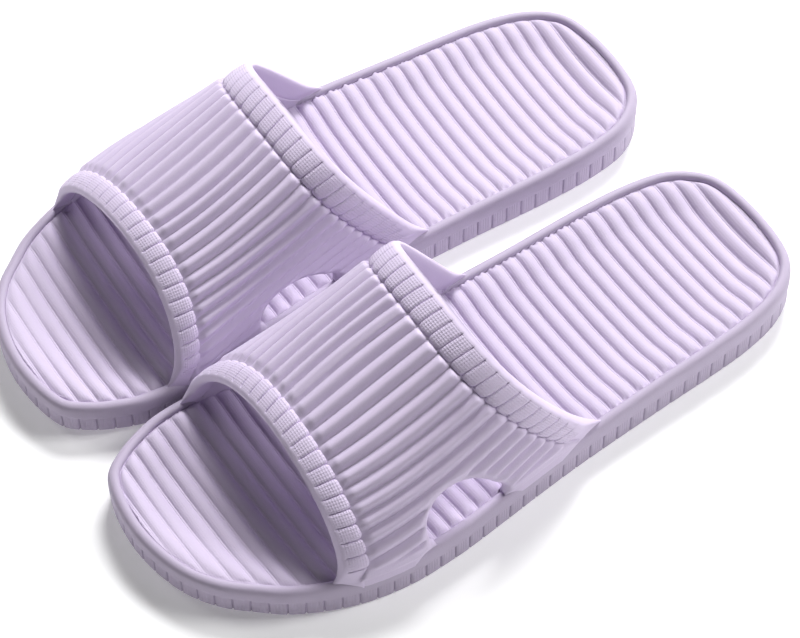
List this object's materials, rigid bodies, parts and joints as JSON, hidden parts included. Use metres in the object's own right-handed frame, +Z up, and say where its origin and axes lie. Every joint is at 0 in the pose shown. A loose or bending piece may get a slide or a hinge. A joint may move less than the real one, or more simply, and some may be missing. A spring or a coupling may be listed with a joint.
{
  "type": "pair of bathroom slides",
  "caption": "Pair of open-toe foam slides with ribbed footbeds, ribbed straps, textured strap bands and half-moon side vents.",
  "frame": {"origin": "centre of the pair's footprint, on the floor that the soles stand on", "axes": "+Z up, -Y towards the toes and +Y towards the heels, +X towards the left slide's outer side; the right slide mirrors the left one across the plane X = 0"},
  "size_m": [0.203, 0.255, 0.0709],
  "materials": {
    "sole_foam": "matt moulded EVA foam, lavender",
    "footbed_foam": "matt moulded EVA foam, lavender, fine knit-like grain",
    "strap_foam": "matt moulded EVA foam, lavender",
    "band_foam": "matt moulded EVA foam, pale lavender, knit-like grain"
  },
  "bodies": {
    "right_slide": {"right_sole": "sole_foam", "right_footbed": "footbed_foam", "right_strap": "strap_foam", "right_strap_front_band": "band_foam", "right_strap_rear_band": "band_foam"},
    "left_slide": {"left_sole": "sole_foam", "left_footbed": "footbed_foam", "left_strap": "strap_foam", "left_strap_front_band": "band_foam", "left_strap_rear_band": "band_foam"}
  },
  "joints": [
    {"name": "left_slide_apart", "type": "slide", "parent": "right_slide", "child": "left_slide", "axis": [1, 0, 0], "range_m": [0, 0.05]}
  ]
}
